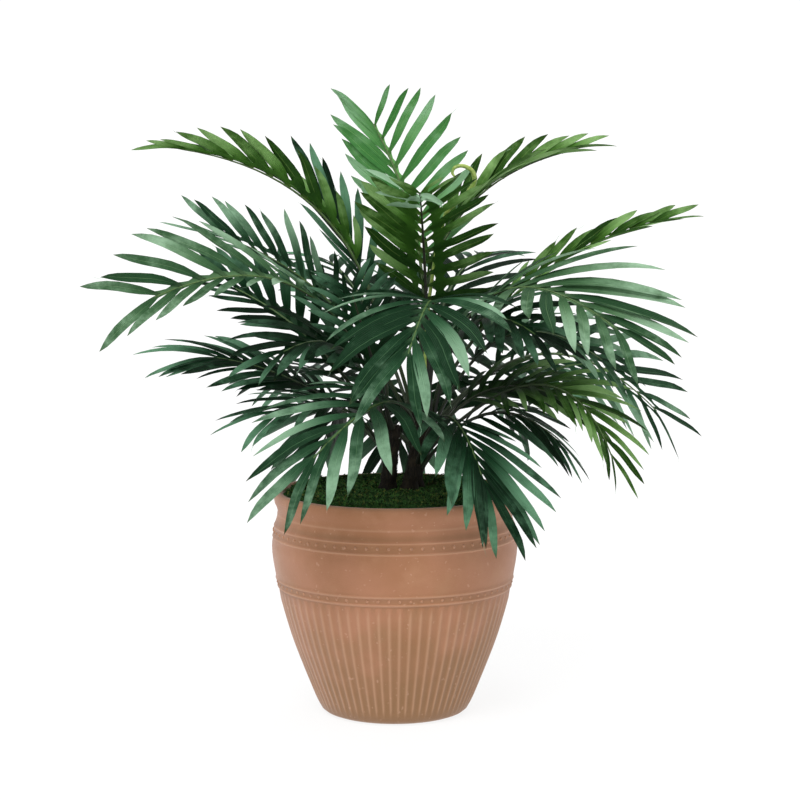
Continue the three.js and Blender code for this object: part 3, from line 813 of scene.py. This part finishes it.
def new_blade():
    """A blade on a unit grid, pointed at the tip: its (column, row) points and its faces."""
    bm = bmesh.new()
    columns, rows = len(BLADE_COLUMNS) - 1, len(BLADE_ROWS) - 1
    bmesh.ops.create_grid(bm, x_segments=columns, y_segments=rows, size=0.5)
    for vert in bm.verts:
        column = BLADE_COLUMNS[round((vert.co.x + 0.5) * columns)]
        vert.co = (column, BLADE_ROWS[round((vert.co.y + 0.5) * rows)], 0)
        if vert.co.y == 1:
            vert.co.x = 0
    bmesh.ops.remove_doubles(bm, verts=bm.verts, dist=MERGE_DISTANCE)
    bm.verts.index_update()
    points = [(vert.co.x, vert.co.y) for vert in bm.verts]
    faces = [tuple(vert.index for vert in face.verts) for face in bm.faces]
    bm.free()
    return points, faces


BLADE_POINTS, BLADE_FACES = new_blade()


def from_core(places):
    """How far places are from the middle of the crown, where the painted shade is darkest."""
    return places.make("VectorMath", {"operation": "DISTANCE"}, {0: places, 1: CROWN_CORE}, "Value")


def leaf_finish(tone):
    shade, face, middle, highlight_colour, edge = [paint(code) for code in LEAF_COLOURS[tone]]
    material, shader, start = new_finish("leaf_" + tone, roughness=0.42, specular=0.1)
    across = abs(start.attribute("across"))
    along = start.attribute("along")
    tint = start.attribute("tint")
    places = start.places()
    weave = places.clouds(1400, 2, 0.6)
    cloud = places.clouds(60, 3, 0.6)
    veins = start.make("Math", {"operation": "SINE"}, {0: across * LEAF_VEINS})
    core = from_core(places)
    # Painted shade and light: each leaflet at random between its colours in shade and in light.
    colour = (tint * 0.6 + cloud * 0.4).rise(0.15, 0.85).blend(shade, face)
    colour = (across.rise(0.1, 0.01) * 0.3).blend(colour, middle)
    # Painted shade: the inner half of each leaflet, towards the rib, darker.
    colour = (along.rise(0.6, 0.05) * 0.6).blend(colour, shade)
    colour = (along.rise(0.14, 0.0) * 0.3).blend(colour, middle)
    # The edges darker: partly a real frayed outline, partly painted shade where leaflets overlap.
    colour = (across.rise(0.78, 1.0) * 0.4).blend(colour, edge)
    # Painted highlight: the outer halves of leaflets lighter in patches, in place of the sheen of
    # the light on them.
    highlight_patches = (tint * 0.45 + cloud * 0.55).rise(0.35, 0.7)
    colour = (along.rise(0.25, 0.85) * highlight_patches * 0.8).blend(colour, highlight_colour)
    # Painted shade: leaves darker towards the middle of the crown.
    colour = (core.rise(0.2, 0.08) * 0.8).blend(colour, paint(LEAF_CORE_SHADE))
    colour = (along.rise(0.93, 1.0) * 0.4).blend(colour, paint(DRY_TIP))
    feed(shader, colour, veins * 0.5 + weave * 0.6 + across.rise(0.12, 0.0), depth=0.0004)
    solid = Shade(start.tree, shader.outputs[0])
    lit = start.make("BsdfTranslucent", {}, {"Color": colour})
    both = start.make("MixShader", {}, {0: LEAF_TRANSLUCENCY, 1: solid, 2: lit})
    start.tree.links.new(both.socket, start.tree.nodes["Material Output"].inputs["Surface"])
    return material


def rib_finish():
    material, shader, start = new_finish("rib", roughness=0.5, specular=0.4)
    places = start.places()
    upper = start.make("Math", {"operation": "SINE"}, {0: start.attribute("turn")})
    strands = places.clouds(300, 3, 0.6)
    core = from_core(places)
    colour = upper.rise(-0.3, 0.6).blend(paint(RIB_UNDER), paint(RIB_UPPER))
    colour = (strands.rise(0.4, 0.7) * 0.4).blend(colour, paint(RIB_STREAK))
    # Painted shade: ribs darker towards the middle of the crown.
    colour = (core.rise(0.18, 0.09) * 0.8).blend(colour, paint(RIB_CORE_SHADE))
    feed(shader, colour, strands, depth=0.0004)
    return material


def thread_finish():
    material, shader, start = new_finish("frayed_thread", roughness=0.7, specular=0.1)
    tint = start.places().clouds(40, 2, 0.5)
    feed(shader, tint.rise(0.4, 0.6).blend(paint(THREAD_DARK), paint(THREAD_LIGHT)))
    return material


leaf_materials = {tone: leaf_finish(tone) for tone in LEAF_COLOURS}
fronds = {name: {**USUAL, **values} for name, values in FRONDS.items()}
ribs = bmesh.new()
threads = []
for name, frond in fronds.items():
    rib = rib_of(frond)
    rings = []
    for k in range(RIB_STEPS + 1):
        t = k / RIB_STEPS
        at, along, side, face = rib(t)
        if k == 0:
            at = at - along * RIB_SINK
        half = between(t, *RIB_HALF_WIDTHS)
        rings.append((at, side * half, face * half * RIB_FLATNESS))
    tube(ribs, rings, RIB_SIDES)

    points, faces, across_values, along_values, tints = [], [], [], [], []
    hands = {-1: [], 1: []}
    for hand, at, ahead, along, across, size, hang, close in leaflets_of(frond):
        line = blade_line(at, ahead, along, size, hang, close)
        twist = math.radians(dice.uniform(-TWIST_STRAY, TWIST_STRAY))
        sway, phase = dice.uniform(-BLADE_SWAY, BLADE_SWAY), dice.uniform(0, math.tau)
        tone = dice.random()
        first = len(points)
        full = BLADE_WIDTH / 2 * frond["wide"] * size
        for column, row in BLADE_POINTS:
            forward = (line(row + BLADE_NUDGE) - line(row - BLADE_NUDGE)).normalized()
            flat = (across - forward * across.dot(forward)).normalized()
            flat.rotate(Matrix.Rotation(twist * row, 3, forward))
            half = full * between(row, BLADE_ROWS, BLADE_WIDTHS)
            wave = BLADE_WAVE * math.sin(BLADE_WAVES * row + phase)
            aside = half * column + size * row * (sway * row + wave)
            fold = half * BLADE_FOLD * abs(column)
            points.append(line(row) + flat * aside + forward.cross(flat) * fold)
            across_values.append(column)
            along_values.append(row)
            tints.append(tone)
        faces += [[first + corner for corner in corners] for corners in BLADE_FACES]
        hands[hand].append((line, tone))
        if dice.random() < FRAYED_SHARE:
            forward = (line(1) - line(FRAYED_FROM)).normalized()
            root = line(FRAYED_FROM) + across * (sway * size)
            loose = forward * dice.uniform(*THREAD_LENGTH) + across * dice.uniform(*THREAD_ASIDE)
            end = root + loose - UP * dice.uniform(*THREAD_DROP)
            bend = root.lerp(end, 0.5) + across * dice.uniform(*THREAD_BEND)
            threads.append(strip(root, bend, end, across * (THREAD_WIDTH / 2)))
    near, far = frond["web"]
    for lines in hands.values():
        for (line, tone), (next_line, next_tone) in zip(lines, lines[1:]):
            first = len(points)
            for k in range(WEB_COLUMNS):
                s = k / (WEB_COLUMNS - 1)
                dip = (far - near) * math.sin(math.pi * s)
                for q in (near + WEB_DIPS[0] * dip * (near > 0), far - WEB_DIPS[1] * dip):
                    points.append(line(q).lerp(next_line(q), s))
                    across_values.append(WEB_ACROSS)
                    along_values.append(q)
                    tints.append(tone + (next_tone - tone) * s)
            faces += [
                [first + 2 * k, first + 2 * k + 2, first + 2 * k + 3, first + 2 * k + 1]
                for k in range(WEB_COLUMNS - 1)
            ]
    mesh = bpy.data.meshes.new("leaves_" + name)
    mesh.from_pydata([point * MILLIMETRE for point in points], [], faces)
    values = {"across": across_values, "along": along_values, "tint": tints}
    for key, numbers in values.items():
        mesh.attributes.new(key, "FLOAT", "POINT").data.foreach_set("value", numbers)
    mesh.shade_smooth()
    mesh.materials.append(leaf_materials[frond["tone"]])
    leaves = bpy.data.objects.new("leaves_" + name, mesh)
    bpy.context.collection.objects.link(leaves)
    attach(leaves, "root")
    "leaf_" + frond["tone"]
    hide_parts("frond_" + name)
bmesh.ops.recalc_face_normals(ribs, faces=ribs.faces)
add_piece("ribs", ribs, rib_finish(), "shoot")
joined("frayed_threads", threads, STRIP_FACES, {}, thread_finish(), "leaf_pale")

curled = []
rib = rib_of(fronds["centre_up"])
for share, length, heading, rise, hang, turn in CURLED_LEAFLETS:
    at, along, side, face = rib(share)
    heading, rise = math.radians(heading), math.radians(rise)
    level = Vector((math.cos(heading), math.sin(heading), 0))
    ahead = level * math.cos(rise) + UP * math.sin(rise)
    line = blade_line(at - face, ahead, along, length, hang, 0)
    group = []
    for column, row in BLADE_POINTS:
        forward = (line(row + BLADE_NUDGE) - line(row - BLADE_NUDGE)).normalized()
        flat = forward.cross(Vector((0, 1, 0))).normalized()
        flat.rotate(Matrix.Rotation(math.radians(turn * row), 3, forward))
        half = CURLED_WIDTH / 2 * between(row, BLADE_ROWS, BLADE_WIDTHS)
        fold = half * CURLED_FOLD * abs(column)
        group.append(line(row) + flat * (half * column) + forward.cross(flat) * fold)
    curled.append(group)
values = {key: [number] * len(curled) for key, number in CURLED_LOOK.items()}
joined("curled_leaflets", curled, BLADE_FACES, values, leaf_materials["pale"], "leaf_pale")

# Young shoot
# A leaf that hasn't unrolled: a slim pale green stalk that thickens at its rolled part and
# hooks over at the end.

SHOOT_PATH = (
    (32, -5, 300.7), (30, 2, 330), (33, 5, 400), (39, -8, 450), (45, -24, 482), (51, -39, 505),
    (62, -46, 516), (71, -52, 524), (77, -56, 534), (77, -59, 542), (73, -61, 548), (65, -62, 551),
    (58, -63, 549), (56, -64, 544), (59, -64, 540),
)
SHOOT_RADII = (2, 1.9, 1.8, 1.8, 1.9, 2.2, 2.4, 2.6, 2.6, 2.4, 2.1, 1.9, 1.7, 1.4, 0.8)
SHOOT_RINGS = 84
SHOOT_SIDES = 12
SHOOT_NUDGE = 0.002
SHOOT_DARK, SHOOT_LIGHT = "6f8f3a", "a0b35c"


def curve_point(points, share):
    """A place on the smooth curve through points."""
    spot = min(share * (len(points) - 1), len(points) - 1.0001)
    k = int(spot)
    t = spot - k
    a, b, c, d = [Vector(points[min(max(k + step, 0), len(points) - 1)]) for step in (-1, 0, 1, 2)]
    steady, bent, eased = c - a, a * 2 - b * 5 + c * 4 - d, b * 3 - a - c * 3 + d
    return b + (steady * t + bent * t ** 2 + eased * t ** 3) * 0.5


def shoot_finish():
    material, shader, start = new_finish("young_shoot", roughness=0.45)
    strands = start.places().clouds(220, 3, 0.6)
    colour = strands.rise(0.35, 0.65).blend(paint(SHOOT_DARK), paint(SHOOT_LIGHT))
    feed(shader, colour, strands, depth=0.0004)
    return material


rings = []
stops = [k / (len(SHOOT_RADII) - 1) for k in range(len(SHOOT_RADII))]
for k in range(SHOOT_RINGS + 1):
    share = k / SHOOT_RINGS
    ahead, behind = [curve_point(SHOOT_PATH, share + step) for step in (SHOOT_NUDGE, -SHOOT_NUDGE)]
    along = (ahead - behind).normalized()
    side = Vector((0, -1, 0))
    side = (side - along * side.dot(along)).normalized()
    radius = between(share, stops, SHOOT_RADII)
    rings.append((curve_point(SHOOT_PATH, share), side * radius, along.cross(side) * radius))
bm = bmesh.new()
tube(bm, rings, SHOOT_SIDES)
bmesh.ops.recalc_face_normals(bm, faces=bm.faces)
add_piece("young_shoot", bm, shoot_finish(), "shoot", "curled_shoot")

# Stage
# A pale floor, soft studio light and the camera at the height and distance of the picture.

CAMERA_PLACE = (0.0054, -2.6, 0.628)
CAMERA_TARGET = (0.0054, 0, 0.3157)
CAMERA_LENS = 117.84
CAMERA_SENSOR = 36
FLOOR_SIZE = 60
FLOOR_GREY = 0.15
FLOOR_GLOW = 0.86
SKY_STRENGTH = 0.4
HORIZON_STRENGTH = 1.05
# Each light's strength, angular size in degrees, and the place it shines from.
LIGHTS = (
    ("key", 2.3, 30, (-0.6, -2.4, 2.9)),
    ("top", 1.3, 45, (0.6, 0.9, 2.4)),
)

bm = bmesh.new()
bmesh.ops.create_grid(bm, x_segments=2, y_segments=2, size=FLOOR_SIZE / 2)
floor_mesh = bpy.data.meshes.new("floor")
bm.to_mesh(floor_mesh)
bm.free()
floor_material, floor_shader, _ = new_finish("floor", roughness=0.9, specular=0.1)
floor_shader.inputs["Base Color"].default_value = (FLOOR_GREY, FLOOR_GREY, FLOOR_GREY, 1)
floor_shader.inputs["Emission Color"].default_value = (1, 1, 1, 1)
floor_shader.inputs["Emission Strength"].default_value = FLOOR_GLOW
floor_mesh.materials.append(floor_material)
floor = bpy.data.objects.new("floor", floor_mesh)
bpy.context.collection.objects.link(floor)

world = bpy.data.worlds.new("studio")
world.use_nodes = True
sky = Shade(world.node_tree)
direction = sky.make("TexCoord", {}, {}, "Generated")
upwards = sky.make("SeparateXYZ", {}, {0: direction}, "Z")
brightness = upwards.rise(0.4, 0.12) * (HORIZON_STRENGTH - SKY_STRENGTH) + SKY_STRENGTH
backdrop = world.node_tree.nodes["Background"]
backdrop.inputs["Color"].default_value = (1, 1, 1, 1)
world.node_tree.links.new(brightness.socket, backdrop.inputs["Strength"])
bpy.context.scene.world = world
for name, strength, size, place in LIGHTS:
    light = bpy.data.lights.new(name, "SUN")
    light.energy = strength
    light.angle = math.radians(size)
    lamp = bpy.data.objects.new(name, light)
    lamp.rotation_euler = (-Vector(place)).to_track_quat("-Z", "Y").to_euler()
    bpy.context.collection.objects.link(lamp)

camera_data = bpy.data.cameras.new("camera")
camera_data.lens = CAMERA_LENS
camera_data.sensor_width = CAMERA_SENSOR
camera = bpy.data.objects.new("camera", camera_data)
camera.location = CAMERA_PLACE
sight = Vector(CAMERA_TARGET) - Vector(CAMERA_PLACE)
camera.rotation_euler = sight.to_track_quat("-Z", "Y").to_euler()
bpy.context.collection.objects.link(camera)
bpy.context.scene.camera = camera
bpy.context.scene.view_settings.view_transform = "Standard"
